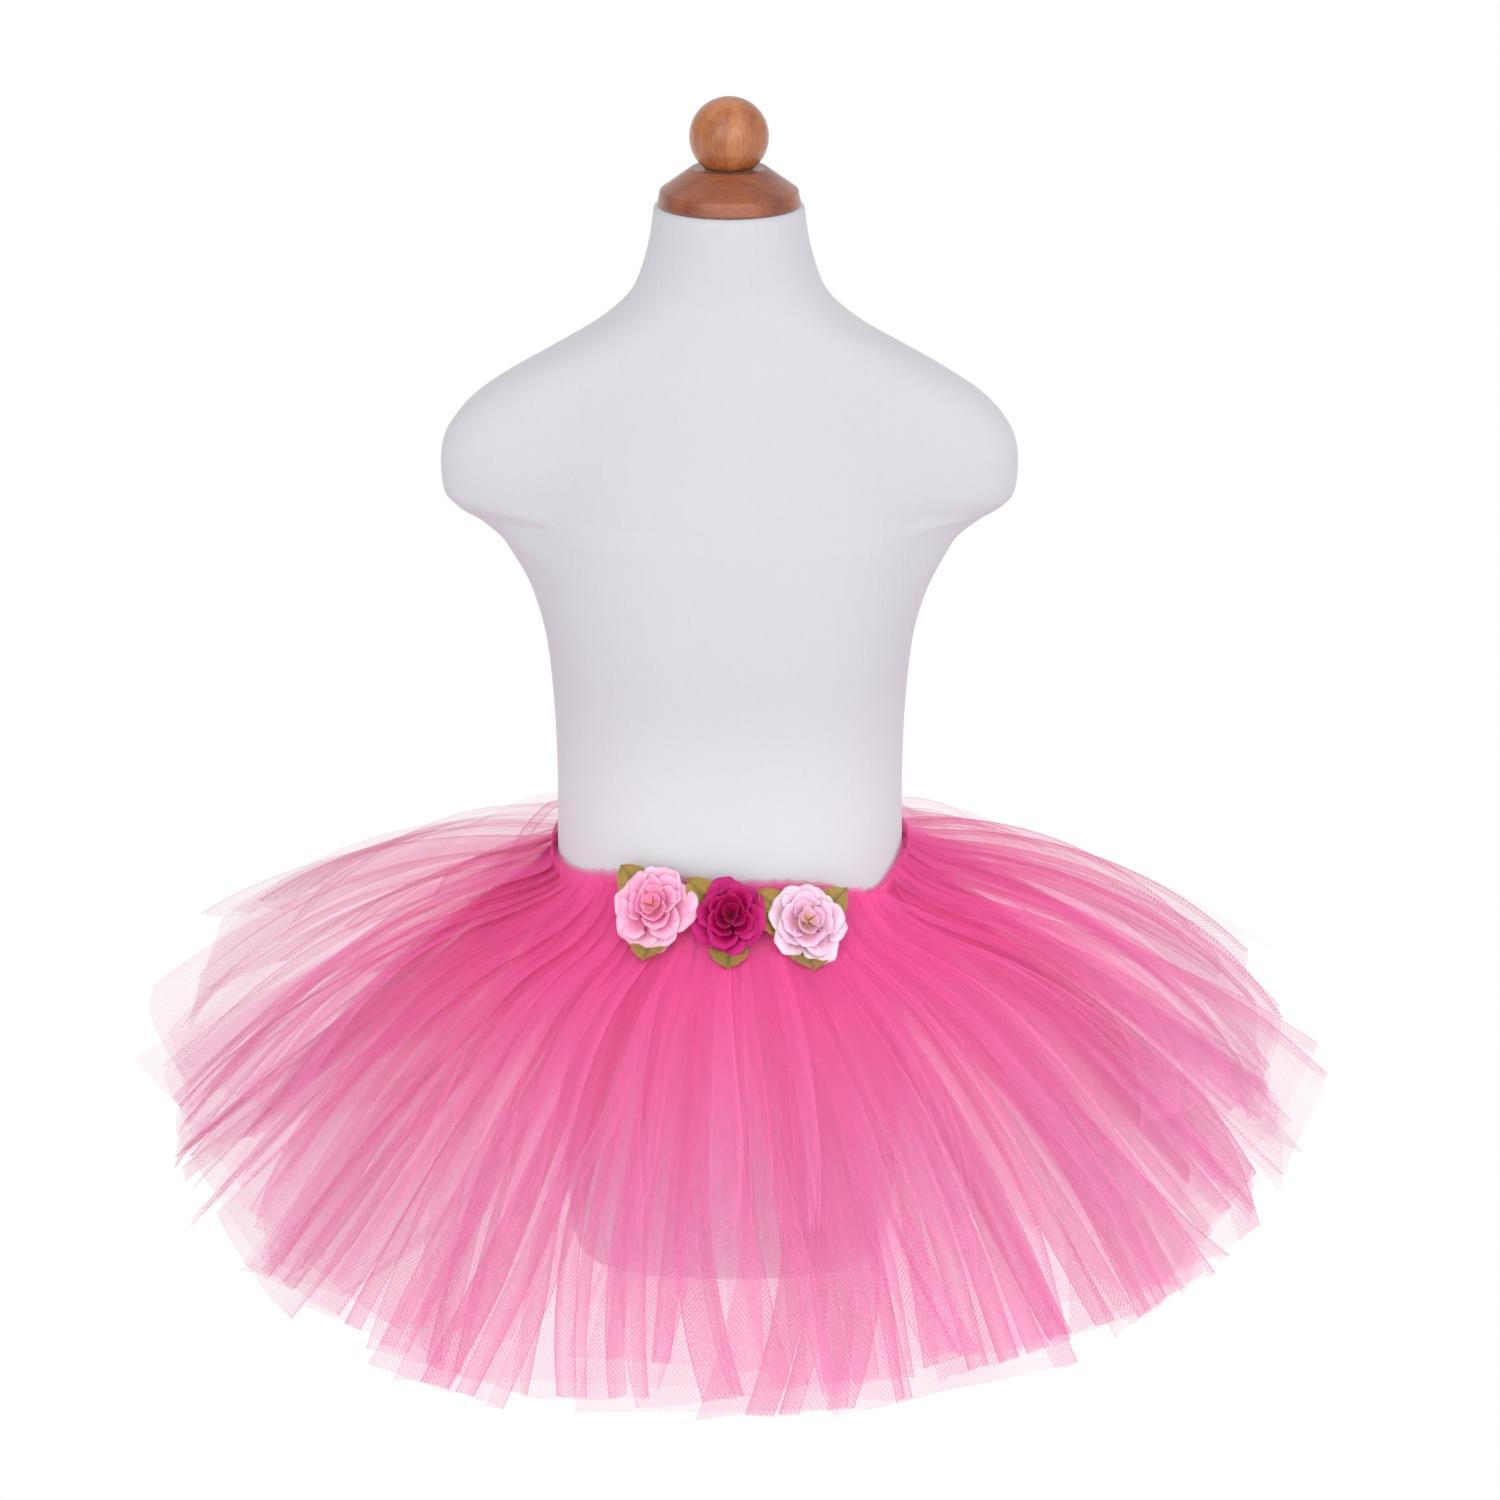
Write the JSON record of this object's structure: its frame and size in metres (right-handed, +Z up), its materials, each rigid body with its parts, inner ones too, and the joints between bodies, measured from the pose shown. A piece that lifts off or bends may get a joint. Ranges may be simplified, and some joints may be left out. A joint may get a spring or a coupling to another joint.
{
  "type": "ballet tutu on a child's tabletop dress form",
  "caption": "Child's ballet tutu of knotted tulle strips with silk roses on its waistband, on a jersey covered tabletop dress form with a turned wooden neck cap and ball.",
  "frame": {"origin": "middle of the dress form's flat base, where it stands on a table", "axes": "+Z up along the form, -Y towards the front with the roses, +X to the right as seen from the front"},
  "size_m": [0.6493, 0.6099, 0.634],
  "materials": {
    "jersey": "white cotton jersey stretched over a padded form",
    "maple": "turned and satin varnished",
    "tulle": "see-through nylon net, cut in strips and knotted",
    "silk_light_pink": "light pink polyester silk petals",
    "silk_magenta": "magenta polyester silk petals",
    "silk_blush": "blush polyester silk petals with a cream heart",
    "leaf_satin": "olive gold pressed satin"
  },
  "bodies": {
    "root": {"form_torso": "jersey", "neck_cap": "maple", "finial_ball": "maple", "waistband": "tulle", "tulle_tier_1": "tulle", "tulle_tier_2": "tulle", "tulle_tier_3": "tulle", "tulle_tier_4": "tulle", "rose_left": "silk_light_pink", "rose_middle": "silk_magenta", "rose_right": "silk_blush", "leaf_1": "leaf_satin", "leaf_2": "leaf_satin", "leaf_3": "leaf_satin", "leaf_4": "leaf_satin", "leaf_5": "leaf_satin", "leaf_6": "leaf_satin", "leaf_7": "leaf_satin", "leaf_8": "leaf_satin"}
  },
  "joints": []
}
